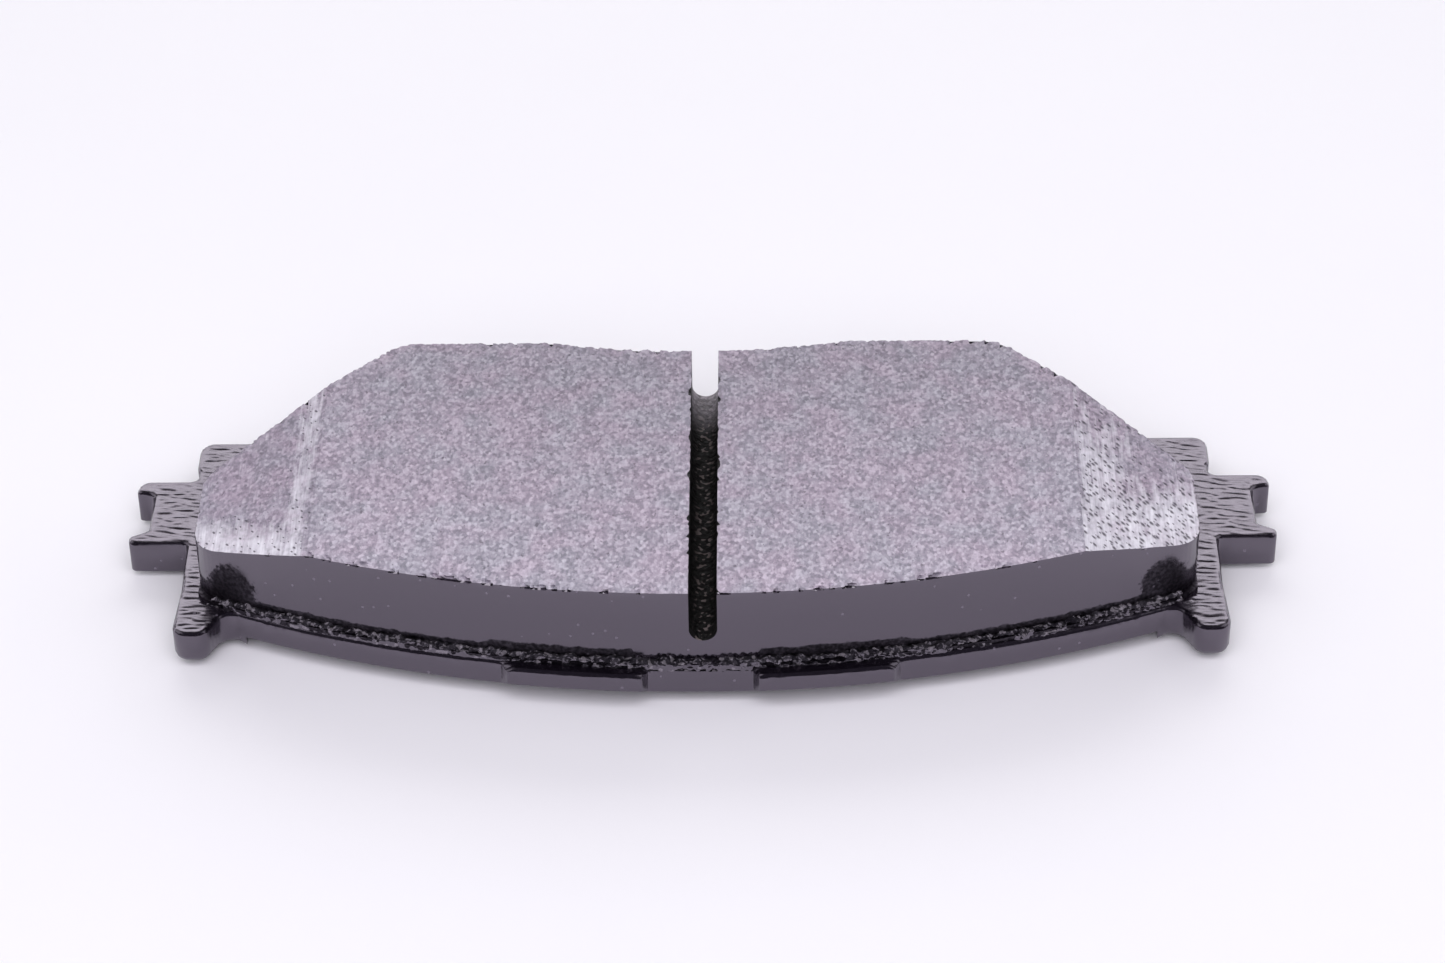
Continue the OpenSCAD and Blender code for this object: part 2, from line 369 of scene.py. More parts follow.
def in_slot(centre, normal):
    """Whether a face of the block is inside the slot."""
    between = abs(centre.x - SLOT_X) < SLOT_HALF + 0.02 * MM
    return between and abs(normal.y) < 0.5 and not ground(centre, normal)


def cut_below_face(block, below):
    """Cuts the block's walls at a depth below its ground face and its ramps."""
    only(block)
    bpy.ops.object.mode_set(mode="EDIT")
    for turn in (-RAMP_ANGLE, 0, RAMP_ANGLE):
        side = math.copysign(1, turn) if turn else 0
        at = (BLOCK_MIDDLE + side * RAMP_START, 0, FACE - below)
        bpy.ops.mesh.select_all(action="SELECT")
        bpy.ops.mesh.bisect(plane_co=at, plane_no=(math.sin(turn), 0, math.cos(turn)))
    bpy.ops.object.mode_set(mode="OBJECT")


def chip_depth(x, y):
    """How far the rim is chipped at a place: most on the left of the outer edge, least on the ramps."""
    fine = noise.noise(Vector((x / MM, y / MM, 0)) / 0.6)
    coarse = noise.noise(Vector((x / MM, y / MM, 3)) / 1.1)
    outer_left = max(0, 1 - abs(x - CHIPPED_X) / CHIPPED_REACH) * (y < 0)
    on_ramp = abs(x - BLOCK_MIDDLE) > RAMP_START
    ragged = 0.3 * fine if y > 0 else 0.08 * fine
    chip = max(0, coarse + 0.3 * fine - 0.2 + 0.3 * outer_left - 0.25 * on_ramp)
    return (0.04 + ragged + min(1.0, 3.5 * chip)) * MM


def make_block(face, ramp, coat, painted_dark):
    """The friction block, with a grainy ground face and a chipped rim."""
    block = merged_copy("friction_block", "friction")
    outline = rim_of(block, ground)
    hide_faces(block, lambda c, n: n.z < -0.9)
    cut_across(block, 0, steps(BLOCK_LOW.x, BLOCK_HIGH.x, FACE_GRID[0]))
    cut_across(block, 1, steps(BLOCK_LOW.y, BLOCK_HIGH.y, FACE_GRID[1]))
    hide_faces(block, lambda c, n: abs(n.z) > 0.9)
    for below in CHIP_CUTS:
        cut_below_face(block, below)
    reveal(block)

    for material in (face, ramp, coat, painted_dark):
        block.data.materials.append(material)
    for f in block.data.polygons:
        on_ramp = abs(f.center.x - BLOCK_MIDDLE) > RAMP_START
        if ground(f.center, f.normal):
            f.material_index = 1 if on_ramp else 0
        else:
            f.material_index = 3 if in_slot(f.center, f.normal) else 2

    co = points(block)
    gap, way = nearest_on(outline, co)
    on_face = np.zeros(len(co), bool)
    on_wall = np.zeros(len(co), bool)
    for f in block.data.polygons:
        marked = on_face if f.material_index < 2 else on_wall
        marked[list(f.vertices)] = True
    rim = on_face & on_wall
    near = on_face & (gap < CHIP_REACH)
    centre = Vector((BLOCK_MIDDLE, 0))
    for i in np.flatnonzero(near):
        if rim[i]:
            pull = Vector((centre.x - co[i, 0], centre.y - co[i, 1])).normalized()
            if abs(co[i, 0] - SLOT_X) < SLOT_HALF + 0.1 * MM:
                pull = Vector((math.copysign(1, co[i, 0] - SLOT_X), 0))
            fade = 1
        else:
            pull = Vector((-way[i, 0], -way[i, 1])).normalized()
            fade = 1 - ease(gap[i], 0, CHIP_REACH)
        depth = chip_depth(co[i, 0], co[i, 1]) * fade
        if abs(co[i, 0] - SLOT_X) < SLOT_HALF + CHIP_REACH:
            depth *= SLOT_CHIPS
        co[i, 0] += pull.x * depth
        co[i, 1] += pull.y * depth
        co[i, 2] -= CHIP_FALL * max(depth, 0)
    co[on_face, 2] -= GRAIN_RISE
    co[:, 1] = np.minimum(co[:, 1], INNER_LIMIT)
    set_points(block, co)

    weigh(block, "grain", on_face * 1.0)
    raise_by(cloud_grain(2), block, "grain", (GRAIN_SIZE,) * 3, GRAIN_RISE, direction="Z")
    finish_piece(block, "friction_block", smooth=40)


# ------------------------------------------------- underlayer and its flash

def make_bead(lumps):
    """The lumpy bead of flash around the block's foot, swept along the outline of its underside."""
    bead = merged_copy("friction_block", "bead")
    choose_faces(bead, lambda c, n: n.z > -0.9)
    bpy.ops.object.mode_set(mode="EDIT")
    bpy.ops.mesh.delete(type="FACE")
    bpy.ops.mesh.select_all(action="SELECT")
    bpy.ops.mesh.delete(type="ONLY_FACE")
    bpy.ops.mesh.select_all(action="SELECT")
    bpy.ops.transform.translate(value=(0, 0, PLATE_TOP - BLOCK_FOOT - BEAD_SINK))
    bpy.ops.object.mode_set(mode="OBJECT")
    bpy.ops.object.convert(target="CURVE")
    bead = bpy.context.object
    bead.data.bevel_depth = BEAD_RADIUS
    bead.data.bevel_resolution = 3
    bpy.ops.object.convert(target="MESH")
    bead = bpy.context.object
    remesh = bead.modifiers.new("even", "REMESH")
    remesh.mode = "VOXEL"
    remesh.voxel_size = BEAD_VOXEL
    bpy.ops.object.modifier_apply(modifier=remesh.name)
    weigh(bead, "lumps", np.ones(len(bead.data.vertices)))
    for grain, (size, height) in ((cloud_grain(), LUMPS), (pebble_grain(), PEBBLES)):
        raise_by(grain, bead, "lumps", (size,) * 3, height)

    # Along the end walls the bead sinks below the plate's top, where the last cut takes it away
    co = points(bead)
    at_ends = ease(abs(co[:, 0] - BLOCK_MIDDLE), BLOCK_END - 3 * MM, BLOCK_END - 1 * MM)
    co[:, 2] -= 2 * MM * at_ends * ease(co[:, 1], -15 * MM, -12 * MM)
    from_axis = np.hypot(co[:, 0], co[:, 1] - ROTOR_AXIS[1])
    shrink = np.minimum(1, (BLOCK_RADIUS + BEAD_RADIUS) / from_axis)
    co[:, 0] *= shrink
    co[:, 1] = ROTOR_AXIS[1] + (co[:, 1] - ROTOR_AXIS[1]) * shrink
    co[:, 1] = np.minimum(co[:, 1], INNER_LIMIT)
    set_points(bead, co)
    bpy.ops.object.mode_set(mode="EDIT")
    bpy.ops.mesh.select_all(action="SELECT")
    bpy.ops.mesh.bisect(plane_co=(0, 0, PLATE_TOP - BEAD_CUT), plane_no=(0, 0, 1),
                        clear_inner=True, use_fill=True)
    bpy.ops.object.mode_set(mode="OBJECT")
    bead.vertex_groups.clear()
    bead.data.materials.clear()
    bead.data.materials.append(lumps)
    return bead


def make_underlayer(coat, lumps):
    """The underlayer, with its end walls drawn in under the block's, joined with the flash."""
    bead = make_bead(lumps)
    layer = merged_copy("underlayer", "underlayer_body")
    co = points(layer)
    beyond = abs(co[:, 0] - BLOCK_MIDDLE) - (BLOCK_END - 0.1 * MM)
    drawn_in = (beyond > 0) & (co[:, 2] > PLATE_TOP - HAIR)
    co[drawn_in, 0] -= (np.sign(co[:, 0] - BLOCK_MIDDLE) * beyond)[drawn_in]
    set_points(layer, co)
    layer.data.materials.append(coat)
    bead.select_set(True)
    bpy.ops.object.join()
    layer.name = "underlayer_and_flash"
    finish_piece(layer, "underlayer")


# ---------------------------------------------------------------- materials

def add_socket(group, name, kind, way, default=None):
    """Adds a named input or output to a node group."""
    made = group.interface.new_socket(name=name, in_out=way, socket_type=kind)
    if default is not None:
        made.default_value = default


def put(tree, kind, values=None, **settings):
    """A node with these settings and input values."""
    node = tree.nodes.new(kind)
    for name, value in settings.items():
        setattr(node, name, value)
    for name, value in (values or {}).items():
        node.inputs[name].default_value = value
    return node


def wire(tree, source, target):
    """Joins an output to an input."""
    tree.links.new(source, target)


def ramp_of(tree, source, *stops, kind="LINEAR"):
    """A colour ramp over a value, from stops of (place, colour or grey)."""
    node = put(tree, "ShaderNodeValToRGB")
    ramp = node.color_ramp
    ramp.interpolation = kind
    while len(ramp.elements) < len(stops):
        ramp.elements.new(0.5)
    for element, (place, colour) in zip(ramp.elements, stops):
        element.position = place
        element.color = (*colour, 1) if isinstance(colour, tuple) else (colour, colour, colour, 1)
    wire(tree, source, node.inputs["Fac"])
    return node.outputs["Color"]


def blend_of(tree, share, first, second, kind="MIX"):
    """Mixes two colours by a share."""
    node = put(tree, "ShaderNodeMix", data_type="RGBA", blend_type=kind)
    for name, value in (("Factor", share), ("A", first), ("B", second)):
        wanted = "VALUE" if name == "Factor" else "RGBA"
        socket = next(s for s in node.inputs if s.name == name and s.type == wanted)
        if hasattr(value, "is_output"):
            wire(tree, value, socket)
        else:
            socket.default_value = value if name == "Factor" else (*value, 1)
    return next(s for s in node.outputs if s.type == "RGBA")


def calc(tree, kind, first, second=0):
    """A Math node on one or two values."""
    node = put(tree, "ShaderNodeMath", operation=kind)
    for socket, value in zip(node.inputs, (first, second)):
        if hasattr(value, "is_output"):
            wire(tree, value, socket)
        else:
            socket.default_value = value
    return node.outputs[0]


def share_of(tree, value, start, length):
    """How far a value lies past a start, as a share of a length."""
    return calc(tree, "DIVIDE", calc(tree, "SUBTRACT", value, start), length)


def axes_of(tree, place):
    """The X, Y and Z of a place."""
    axis = put(tree, "ShaderNodeSeparateXYZ")
    wire(tree, place, axis.inputs[0])
    return axis.outputs


def from_middle_of(tree, axis):
    """How far a place lies from the block's middle along X."""
    return calc(tree, "ABSOLUTE", calc(tree, "SUBTRACT", axis["X"], BLOCK_MIDDLE))


def new_group(name, inputs, outputs):
    """A shader node group with its named sockets."""
    group = bpy.data.node_groups.new(name, "ShaderNodeTree")
    for label, kind, default in inputs:
        add_socket(group, label, kind, "INPUT", default)
    for label, kind in outputs:
        add_socket(group, label, kind, "OUTPUT")
    return group, put(group, "NodeGroupInput").outputs, put(group, "NodeGroupOutput").inputs


def make_grains():
    """Soft grains of a pressed compound: tone, height, the rare light ones and the dark pits."""
    group, given, out = new_group(
        "Pressed grains",
        [("Place", "NodeSocketVector", None), ("Grains per metre", "NodeSocketFloat", 2200.0),
         ("Light from", "NodeSocketFloat", 0.7), ("Dark below", "NodeSocketFloat", 0.3)],
        [("Tone", "NodeSocketFloat"), ("Light", "NodeSocketFloat"), ("Dark", "NodeSocketFloat"),
         ("Height", "NodeSocketFloat")])

    def noise_at(share, detail, apart):
        """Noise with grains a share as large, from its own part of space."""
        moved = put(group, "ShaderNodeVectorMath", operation="ADD")
        wire(group, given["Place"], moved.inputs[0])
        moved.inputs[1].default_value = (apart, apart, 0)
        made = put(group, "ShaderNodeTexNoise", {"Detail": detail, "Roughness": 0.6})
        wire(group, moved.outputs[0], made.inputs["Vector"])
        wire(group, calc(group, "DIVIDE", given["Grains per metre"], share), made.inputs["Scale"])
        return made.outputs["Fac"]

    def rising(value, slope):
        """0 below zero, then up by a slope to 1."""
        return ramp_of(group, calc(group, "MULTIPLY", value, slope), (0.0, 0.0), (1.0, 1.0))

    cells = put(group, "ShaderNodeTexVoronoi", {"Smoothness": 0.6}, feature="SMOOTH_F1")
    wire(group, given["Place"], cells.inputs["Vector"])
    wire(group, given["Grains per metre"], cells.inputs["Scale"])
    chance = put(group, "ShaderNodeSeparateColor")
    wire(group, cells.outputs["Color"], chance.inputs[0])
    tone = calc(group, "ADD", calc(group, "MULTIPLY", chance.outputs[0], 0.5),
                  calc(group, "MULTIPLY", noise_at(1.0, 2.0, 0.3), 0.6))
    wire(group, tone, out["Tone"])
    light = calc(group, "SUBTRACT", noise_at(1.1, 0.0, 0.7), given["Light from"])
    wire(group, rising(light, 16.0), out["Light"])
    dark = calc(group, "SUBTRACT", given["Dark below"], noise_at(1.5, 1.0, 1.1))
    wire(group, rising(dark, 14.0), out["Dark"])
    wire(group, calc(group, "SUBTRACT", tone, calc(group, "MAXIMUM", dark, 0.0)), out["Height"])
    return group


def make_ripple():
    """The soft ripple of a thick coat of paint."""
    group, given, out = new_group(
        "Coat ripple",
        [("Place", "NodeSocketVector", None), ("Waves per metre", "NodeSocketFloat", 300.0)],
        [("Height", "NodeSocketFloat"), ("Dust", "NodeSocketFloat")])
    wave = put(group, "ShaderNodeTexNoise", {"Detail": 2.0})
    wire(group, given["Place"], wave.inputs["Vector"])
    wire(group, given["Waves per metre"], wave.inputs["Scale"])
    wire(group, wave.outputs["Fac"], out["Height"])
    specks = put(group, "ShaderNodeTexVoronoi", {"Scale": 450.0}, feature="F1")
    wire(group, given["Place"], specks.inputs["Vector"])
    wire(group, ramp_of(group, specks.outputs["Distance"], (0.0, 1.0), (0.07, 1.0), (0.1, 0.0)),
         out["Dust"])
    return group


COAT_SHEEN = (0.93, 0.83, 1.0, 1)
GRAINS = make_grains()
RIPPLE = make_ripple()


def start_material(name, **values):
    """A material with its shader's uniform values, and the places on the piece."""
    material = bpy.data.materials.new(name)
    material.use_nodes = True
    tree = material.node_tree
    shader = tree.nodes["Principled BSDF"]
    for label, value in values.items():
        shader.inputs[label.replace("_", " ")].default_value = value
    place = put(tree, "ShaderNodeTexCoord").outputs["Object"]
    return material, tree, shader, place


def use_group(tree, group, place, **values):
    """A group placed in a material with its own values."""
    node = put(tree, "ShaderNodeGroup", node_tree=group)
    wire(tree, place, node.inputs["Place"])
    for label, value in values.items():
        node.inputs[label.replace("_", " ")].default_value = value
    return node.outputs


def bump(tree, shader, height, strength, distance):
    """Gives the shader a bump of this height."""
    node = put(tree, "ShaderNodeBump", {"Strength": strength, "Distance": distance})
    wire(tree, height, node.inputs["Height"])
    wire(tree, node.outputs["Normal"], shader.inputs["Normal"])


def black_coat(name, rough, waves, depth, painted_reflection=False):
    """Glossy black paint with a soft ripple and a few specks of dust, and a painted dark reflection where
    it is asked for.
    """
    material, tree, shader, place = start_material(name, IOR=2.25, Specular_Tint=COAT_SHEEN)
    ripple = use_group(tree, RIPPLE, place, Waves_per_metre=waves)
    gloss = ramp_of(tree, ripple["Height"], (0.3, rough * 0.85), (0.7, rough * 1.2))
    # Painted dark reflection: where the mask is, the coat turns metallic and rougher, so it shows near
    # black.
    if painted_reflection:
        painted_dark = painted_dark_reflection(tree, place)
        gloss = blend_of(tree, painted_dark, gloss, (0.5, 0.5, 0.5))
        wire(tree, calc(tree, "MULTIPLY", painted_dark, 0.85), shader.inputs["Metallic"])
    wire(tree, blend_of(tree, ripple["Dust"], (0.004, 0.003, 0.005), (0.09, 0.08, 0.1)),
         shader.inputs["Base Color"])
    wire(tree, gloss, shader.inputs["Roughness"])
    bump(tree, shader, ripple["Height"], 1.0, depth)
    return material


def painted_dark_reflection(tree, place):
    """Mask of the painted dark reflections low on the block's two outer corners, and of the painted dark
    band over the flash.
    """
    axis = axes_of(tree, place)
    from_middle = from_middle_of(tree, axis)
    wander = noise_of(tree, place, (0.9 * MM,) * 3, 4.0, rough=0.7)
    beside = share_of(tree, from_middle, PATCH_X, PATCH_REACH[0])
    above = share_of(tree, axis["Z"], PLATE_TOP + PATCH_UP, PATCH_REACH[1])
    far = calc(tree, "SQRT", calc(tree, "ADD", calc(tree, "MULTIPLY", beside, beside),
                                  calc(tree, "MULTIPLY", above, above)))
    ragged = calc(tree, "ADD", far, calc(tree, "MULTIPLY", wander, 1.1))
    patch = ramp_of(tree, calc(tree, "MULTIPLY", ragged, 0.5), (0.72, 1.0), (0.8, 0.0))

    # The painted dark band low on the outer wall, over the flash: none in the middle, highest by the
    # bumps.
    height = share_of(tree, axis["Z"], PLATE_TOP, 4 * MM)
    along = calc(tree, "DIVIDE", from_middle, 60 * MM)
    reach = ramp_of(tree, along, (0.125, 0.0), (0.14, 0.62), (0.45, 0.62), (0.48, 0.48), (1.0, 0.52))
    wavy = noise_of(tree, place, (1.6 * MM,) * 3, 4.0, rough=0.65)
    left = calc(tree, "SUBTRACT", calc(tree, "ADD", reach, calc(tree, "MULTIPLY", wavy, 0.3)), height)
    band = ramp_of(tree, left, (0.14, 0.0), (0.2, 1.0))

    outer = calc(tree, "LESS_THAN", axis["Y"], 0)
    mottle = ramp_of(tree, noise_of(tree, place, (0.5 * MM,) * 3, 2.0), (0.35, 0.65), (0.6, 1.0))
    painted_reflection = calc(tree, "MULTIPLY", calc(tree, "MAXIMUM", patch, band), mottle)
    return calc(tree, "MULTIPLY", painted_reflection, outer)


def inside_arc(tree, place):
    """How far a place lies inside the block's outer arc."""
    offset = put(tree, "ShaderNodeVectorMath", operation="SUBTRACT")
    wire(tree, place, offset.inputs[0])
    offset.inputs[1].default_value = ROTOR_AXIS
    flat = put(tree, "ShaderNodeVectorMath", operation="MULTIPLY")
    wire(tree, offset.outputs[0], flat.inputs[0])
    flat.inputs[1].default_value = (1, 1, 0)
    length = put(tree, "ShaderNodeVectorMath", operation="LENGTH")
    wire(tree, flat.outputs[0], length.inputs[0])
    return calc(tree, "SUBTRACT", BLOCK_RADIUS, length.outputs["Value"])


def noise_of(tree, place, size, detail, rough=0.5):
    """Noise whose grains have a size along X, Y and Z."""
    mapping = put(tree, "ShaderNodeMapping", {"Scale": size}, vector_type="TEXTURE")
    wire(tree, place, mapping.inputs["Vector"])
    made = put(tree, "ShaderNodeTexNoise", {"Scale": 1.0, "Detail": detail, "Roughness": rough})
    wire(tree, mapping.outputs["Vector"], made.inputs["Vector"])
    return made.outputs["Fac"]


def ground_compound(tree, place):
    """Colour and height of the ground compound, with the grains that both its faces show."""
    stretch = put(tree, "ShaderNodeMapping", {"Scale": (1.0, 1.5, 1.5)}, vector_type="TEXTURE")
    wire(tree, place, stretch.inputs["Vector"])
    grains = use_group(tree, GRAINS, stretch.outputs["Vector"], Grains_per_metre=2500.0, Light_from=0.72,
                       Dark_below=0.32)
    tone = ramp_of(tree, grains["Tone"], (0.25, (0.25, 0.235, 0.275)), (0.55, (0.4, 0.368, 0.425)),
                   (0.85, (0.58, 0.545, 0.61)))
    colour = blend_of(tree, calc(tree, "MULTIPLY", grains["Light"], 0.3), tone, (0.8, 0.77, 0.82))
    # Painted shade: the dark pits, lowered by the bump, are also coloured darker.
    colour = blend_of(tree, calc(tree, "MULTIPLY", grains["Dark"], 0.6), colour, (0.13, 0.115, 0.14))
    patches = noise_of(tree, place, (5 * MM,) * 3, 3.0)
    tint = ramp_of(tree, patches, (0.38, (0.96, 0.98, 0.98)), (0.62, (1.03, 0.965, 0.995)))
    colour = blend_of(tree, 1.0, colour, tint, "MULTIPLY")
    # The colour grows darker towards the face's inner edge.
    inward = calc(tree, "DIVIDE", inside_arc(tree, place), 50 * MM)
    return blend_of(tree, 1.0, colour, ramp_of(tree, inward, (0.0, 1.0), (1.0, 0.76)), "MULTIPLY"), grains


def ground_face():
    """The flat of the ground compound."""
    material, tree, shader, place = start_material("ground face", IOR=1.45)
    colour, grains = ground_compound(tree, place)
    wire(tree, colour, shader.inputs["Base Color"])
    wire(tree, ramp_of(tree, grains["Tone"], (0.3, 0.95), (0.8, 0.75)), shader.inputs["Roughness"])
    bump(tree, shader, grains["Height"], 0.4, 0.1 * MM)
    return material


def paler_part(tree, place, axis):
    """Where a ramp is paler and smoother: along its start and its outer edge, most on the right one."""
    down = share_of(tree, from_middle_of(tree, axis), RAMP_START, RAMP_LENGTH)
    inward = calc(tree, "DIVIDE", inside_arc(tree, place), 40 * MM)
    on_right = calc(tree, "GREATER_THAN", axis["X"], 0)
    start_right = ramp_of(tree, down, (0.0, 0.3), (0.05, 1.0), (0.3, 0.8), (0.6, 0.1))
    band_right = calc(tree, "MULTIPLY", start_right, ramp_of(tree, inward, (0.4, 1.0), (0.85, 0.1)))
    band_left = ramp_of(tree, down, (0.0, 0.1), (0.1, 0.75), (0.16, 0.65), (0.27, 0.0))
    edge_right = ramp_of(tree, inward, (0.17, 1.0), (0.36, 0.1))
    edge_left = calc(tree, "MULTIPLY", ramp_of(tree, inward, (0.05, 1.0), (0.2, 0.0)),
                     ramp_of(tree, down, (0.0, 0.35), (0.14, 1.0)))
    right = calc(tree, "MAXIMUM", band_right, edge_right)
    left = calc(tree, "MAXIMUM", band_left, edge_left)
    mask = calc(tree, "ADD", calc(tree, "MULTIPLY", right, on_right),
                calc(tree, "MULTIPLY", left, calc(tree, "SUBTRACT", 1.0, on_right)))
    return mask, on_right


def ramp_pits(tree, place, mask, on_right):
    """The slanted pits in a ramp's paler part, larger and more of them on the right ramp."""
    slant = put(tree, "ShaderNodeMapping", {"Rotation": (0, 0, PIT_SLANT), "Scale": PIT_SIZE},
                vector_type="TEXTURE")
    wire(tree, place, slant.inputs["Vector"])
    cells = put(tree, "ShaderNodeTexVoronoi", {"Scale": 1.0}, feature="F1", voronoi_dimensions="2D")
    wire(tree, slant.outputs["Vector"], cells.inputs["Vector"])
    chance = put(tree, "ShaderNodeSeparateColor")
    wire(tree, cells.outputs["Color"], chance.inputs[0])
    more_on_right = calc(tree, "MULTIPLY", on_right, 0.4)
    share = calc(tree, "MULTIPLY", mask, calc(tree, "ADD", more_on_right, 0.45))
    largest = calc(tree, "ADD", more_on_right, 0.7)
    size = calc(tree, "MULTIPLY", calc(tree, "ADD", chance.outputs[1], 0.4), largest)
    spread = calc(tree, "DIVIDE", cells.outputs["Distance"], size)
    return calc(tree, "MULTIPLY", ramp_of(tree, spread, (0.12, 1.0), (0.34, 0.0)),
                calc(tree, "LESS_THAN", chance.outputs[0], share))


def ground_ramp():
    """A ramp, with the grinding's fine lines, its paler, smoother part and the pits that it left, whose
    dark colour is painted shade.
    """
    material, tree, shader, place = start_material("ground ramp", IOR=1.45)
    colour, grains = ground_compound(tree, place)
    mask, on_right = paler_part(tree, place, axes_of(tree, place))
    lines = noise_of(tree, place, (0.35 * MM, 7 * MM, 7 * MM), 2.0, rough=0.6)
    ragged = noise_of(tree, place, (1.1 * MM, 2.6 * MM, 2.6 * MM), 2.0)
    broken = calc(tree, "ADD", calc(tree, "MULTIPLY", lines, 0.45), calc(tree, "MULTIPLY", ragged, 0.45))
    paleness = calc(tree, "ADD", calc(tree, "MULTIPLY", mask, 0.3), broken)
    paleness = ramp_of(tree, paleness, (0.52, 0.0), (0.93, 1.0))
    # Painted shade: the ramps' compound is a darker copy of the face's.
    colour = blend_of(tree, 1.0, colour, (0.86, 0.84, 0.86), "MULTIPLY")
    colour = blend_of(tree, paleness, colour, (0.8, 0.79, 0.84))
    pitted = ramp_pits(tree, place, mask, on_right)
    # Painted shade: the pits are coloured near black.
    colour = blend_of(tree, calc(tree, "MULTIPLY", pitted, 0.92), colour, (0.08, 0.072, 0.09))
    wire(tree, colour, shader.inputs["Base Color"])
    wire(tree, ramp_of(tree, paleness, (0.0, 0.85), (1.0, 0.55)), shader.inputs["Roughness"])
    height = calc(tree, "ADD", calc(tree, "MULTIPLY", grains["Height"], 0.6),
                  calc(tree, "MULTIPLY", lines, 0.3))
    bump(tree, shader, calc(tree, "SUBTRACT", height, pitted), 0.6, 0.12 * MM)
    return material


def slot_painted_shade():
    """The inside of the slot, painted near black as shade, with brownish grains only in the middle of its
    floor, and the painted shade lifting to a paler inner end.
    """
    material, tree, shader, place = start_material("slot painted shade", IOR=1.5)
    grains = use_group(tree, GRAINS, place, Grains_per_metre=1800.0, Light_from=0.61, Dark_below=0.3)
    axis = axes_of(tree, place)
    # Painted shade: the slot's inside is near black, with grain specks kept away from its walls.
    tone = ramp_of(tree, grains["Tone"], (0.3, (0.001, 0.001, 0.001)), (0.8, (0.006, 0.005, 0.005)))
    up = share_of(tree, axis["Z"], BLOCK_FOOT, 10 * MM)
    on_floor = ramp_of(tree, up, (0.22, 1.0), (0.34, 0.0))
    across = calc(tree, "ABSOLUTE", calc(tree, "SUBTRACT", axis["X"], SLOT_X))
    in_middle = ramp_of(tree, calc(tree, "DIVIDE", across, SLOT_HALF), (0.35, 1.0), (0.8, 0.0))
    specks = calc(tree, "MULTIPLY", grains["Light"], calc(tree, "MULTIPLY", on_floor, in_middle))
    colour = blend_of(tree, specks, tone, (0.17, 0.14, 0.135))
    # The painted shade lifts towards the slot's inner end.
    inward = calc(tree, "DIVIDE", axis["Y"], BLOCK_HIGH.y)
    inner_end = ramp_of(tree, inward, (0.6, 0.0), (0.98, 1.0))
    pale = ramp_of(tree, grains["Tone"], (0.35, (0.2, 0.185, 0.2)), (0.75, (0.48, 0.44, 0.48)))
    wire(tree, blend_of(tree, inner_end, colour, pale), shader.inputs["Base Color"])
    wire(tree, ramp_of(tree, grains["Tone"], (0.3, 0.6), (0.8, 0.9)), shader.inputs["Roughness"])
    bump(tree, shader, grains["Height"], 1.0, 0.3 * MM)
    return material


def bead_coat():
    """The black coat on the lumpy flash, which glints, with rare pale specks painted in as glints."""
    material, tree, shader, place = start_material("flash coat", IOR=2.25, Specular_Tint=COAT_SHEEN)
    grains = use_group(tree, GRAINS, place, Grains_per_metre=1500.0, Light_from=0.62, Dark_below=0.3)
    tone = ramp_of(tree, grains["Tone"], (0.3, (0.002, 0.002, 0.002)), (0.8, (0.03, 0.028, 0.032)))
    # Painted glints: rare pale specks in the coat's colour.
    wire(tree, blend_of(tree, calc(tree, "MULTIPLY", grains["Light"], 0.4), tone, (0.3, 0.275, 0.3)),
         shader.inputs["Base Color"])
    wire(tree, ramp_of(tree, grains["Tone"], (0.3, 0.12), (0.8, 0.28)), shader.inputs["Roughness"])
    bump(tree, shader, grains["Height"], 0.6, 0.2 * MM)
    return material


def layer_finish(name, colour, second, rough, per_metre, depth, metal=0.0):
    """A thin layer of the laminate: two tones in fine grains."""
    material, tree, shader, place = start_material(name, IOR=1.5, Metallic=metal)
    grains = use_group(tree, GRAINS, place, Grains_per_metre=per_metre)
    tone = ramp_of(tree, grains["Tone"], (0.3, colour), (0.8, second))
    wire(tree, tone, shader.inputs["Base Color"])
    wire(tree, ramp_of(tree, grains["Tone"], (0.3, rough * 0.85), (0.8, min(1.0, rough * 1.15))),
         shader.inputs["Roughness"])
    bump(tree, shader, grains["Height"], 0.6, depth)
    return material


def dress_node(node, material):
    """Gives a CAD node a better material."""
    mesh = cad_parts[node].data
    mesh.materials.clear()
    mesh.materials.append(material)


def table_paper():
    """The plain white paper that the pad lies on."""
    material, tree, shader, place = start_material("table paper", IOR=1.3, Roughness=0.9)
    fibres = put(tree, "ShaderNodeTexNoise", {"Scale": 9.0, "Detail": 4.0})
    wire(tree, place, fibres.inputs["Vector"])
    white = ramp_of(tree, fibres.outputs["Fac"], (0.3, (0.888, 0.885, 0.9)), (0.7, (0.903, 0.9, 0.912)))
    wire(tree, white, shader.inputs["Base Color"])
    return material


# ------------------------------------------------------- table, light, view

def make_table():
    """A wide plain table under the pad."""
    bpy.ops.object.select_all(action="DESELECT")
    bpy.ops.mesh.primitive_plane_add(size=8, location=(0, 0, 0))
    table = bpy.context.object
    table.name = "table"
    table.data.materials.append(table_paper())


def make_softbox(name, at, aim, size, watts, colour=(1, 1, 1), gloss=True):
    """A rectangular soft light turned to what it lights. Without gloss, reflections don't show it."""
    light = bpy.data.lights.new(name, "AREA")
    light.shape = "RECTANGLE"
    light.size, light.size_y = size
    light.energy = watts
    light.color = colour
    lamp = bpy.data.objects.new(name, light)
    lamp.location = at
    lamp.rotation_euler = (Vector(aim) - Vector(at)).to_track_quat("-Z", "Y").to_euler()
    lamp.visible_glossy = gloss
    bpy.context.scene.collection.objects.link(lamp)


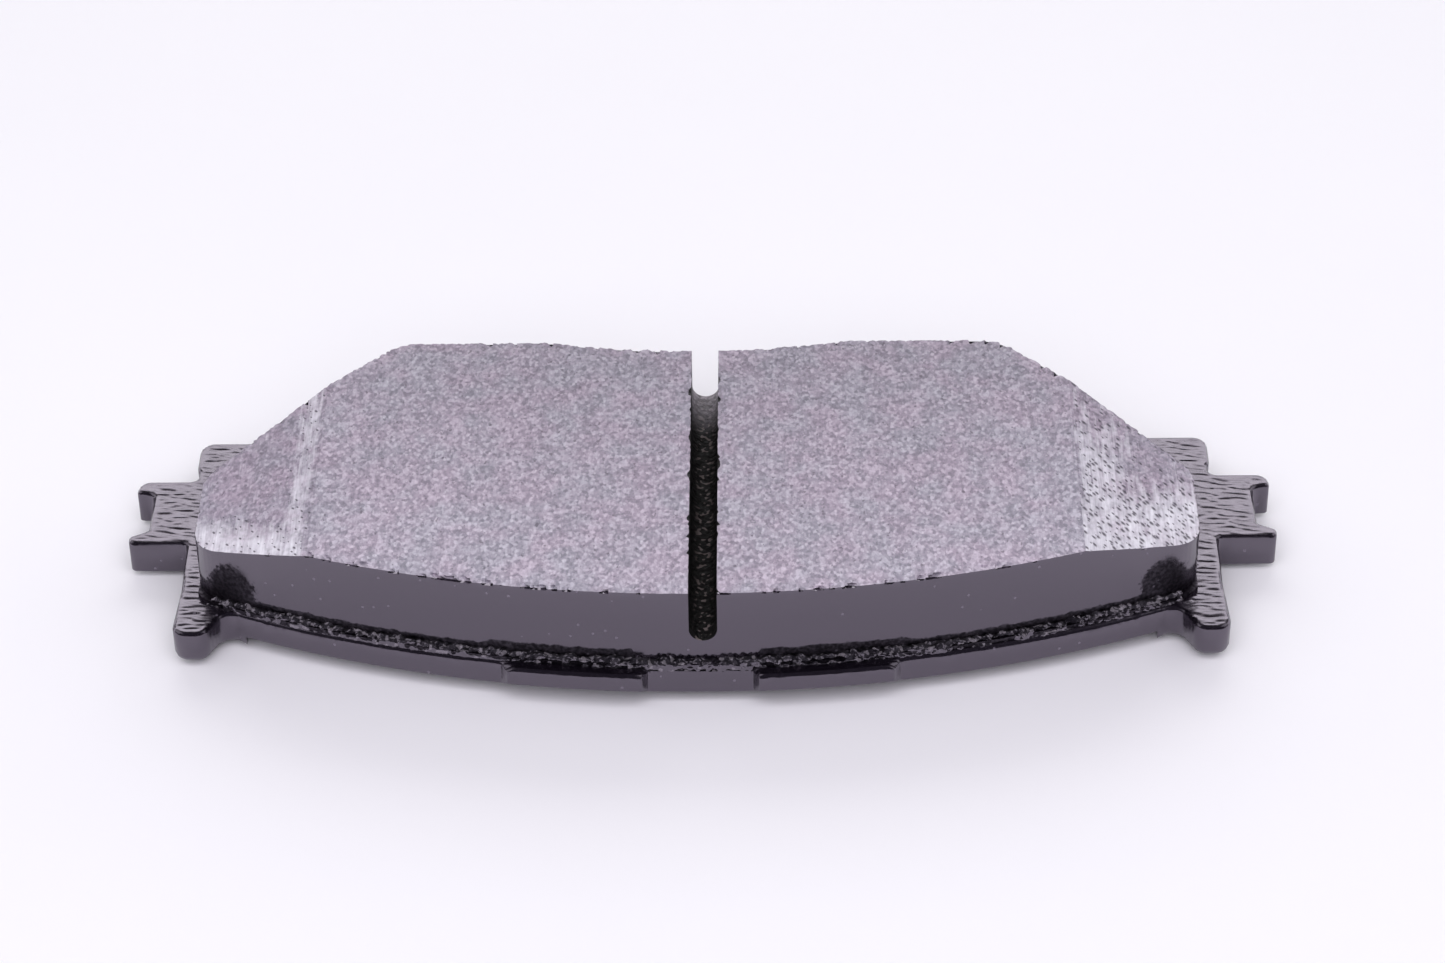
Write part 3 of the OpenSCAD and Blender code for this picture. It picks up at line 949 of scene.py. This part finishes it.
def make_room():
    """A room that is bright low down behind the table and dark on the camera's side."""
    world = bpy.data.worlds.new("room")
    world.use_nodes = True
    bpy.context.scene.world = world
    tree = world.node_tree
    tree.nodes.clear()
    axis = axes_of(tree, put(tree, "ShaderNodeTexCoord").outputs["Generated"])
    behind = calc(tree, "ADD", calc(tree, "MULTIPLY", axis["Y"], 0.5), 0.5)
    sky = ramp_of(tree, behind, (0.0, (0.05, 0.046, 0.06)), (0.5, (0.055, 0.05, 0.065)),
                  (0.7, (0.14, 0.135, 0.145)))
    backdrop = calc(tree, "MULTIPLY", ramp_of(tree, behind, (0.6, 0.0), (0.75, 1.0)),
                    ramp_of(tree, axis["Z"], (0.3, 1.0), (0.42, 0.0)))
    walls = blend_of(tree, backdrop, sky, (1.5, 1.48, 1.55))
    seen = put(tree, "ShaderNodeBackground", {"Color": (0.94, 0.94, 0.97, 1)})
    glow = put(tree, "ShaderNodeBackground")
    wire(tree, walls, glow.inputs["Color"])
    pick = put(tree, "ShaderNodeMixShader")
    wire(tree, put(tree, "ShaderNodeLightPath").outputs["Is Camera Ray"], pick.inputs[0])
    wire(tree, glow.outputs[0], pick.inputs[1])
    wire(tree, seen.outputs[0], pick.inputs[2])
    wire(tree, pick.outputs[0], put(tree, "ShaderNodeOutputWorld").inputs["Surface"])


def make_camera():
    """The camera, in front of the outer edge and above it."""
    camera = bpy.data.objects.new("camera", bpy.data.cameras.new("camera"))
    camera.location = (8.371 * MM, -444.927 * MM, 362.634 * MM)
    camera.rotation_euler = [math.radians(a) for a in (51.997, 0.652, 0.197)]
    camera.data.lens = 104.59
    camera.data.sensor_width = 36
    camera.data.clip_start = 0.01
    bpy.context.scene.collection.objects.link(camera)
    bpy.context.scene.camera = camera


make_camera()
bpy.context.scene.view_settings.view_transform = "Standard"

smooth_coat = black_coat("block coat", 0.13, 120.0, 0.05 * MM, painted_reflection=True)
make_plate(black_coat("plate coat", 0.21, 500.0, 0.06 * MM))
make_block(ground_face(), ground_ramp(), smooth_coat, slot_painted_shade())
make_underlayer(smooth_coat, bead_coat())
bond = layer_finish("cured bond", (0.03, 0.02, 0.015), (0.09, 0.06, 0.04), 0.5, 900.0, 0.05 * MM)
adhesive = layer_finish("shim adhesive", (0.5, 0.4, 0.22), (0.66, 0.56, 0.34), 0.4, 700.0, 0.03 * MM)
rubber = layer_finish("shim rubber", (0.02, 0.02, 0.022), (0.055, 0.053, 0.058), 0.7, 1600.0, 0.06 * MM)
steel = layer_finish("shim steel", (0.38, 0.38, 0.4), (0.6, 0.6, 0.62), 0.35, 1200.0, 0.02 * MM, metal=1.0)
dress_node("bond_film", bond)
dress_node("shim_adhesive", adhesive)
dress_node("shim_inner_rubber", rubber)
dress_node("shim_steel_core", steel)
dress_node("shim_outer_rubber", rubber)

make_table()
make_room()
make_softbox("back softbox", at=(0, 0.8, 0.6), aim=(0, 0, 0), size=(1.1, 0.45), watts=3.7)
for side in (-1, 1):
    make_softbox("side softbox", at=(side * 0.9, 0.05, 0.65), aim=(0, 0, 0), size=(0.9, 0.9),
                 watts=1.95, colour=(0.99, 0.985, 1.0))
make_softbox("front fill", at=(0, -0.62, 0.85), aim=(0, 0.05, 0), size=(1.4, 1.2),
             watts=13.0, colour=(0.95, 0.92, 1.0), gloss=False)
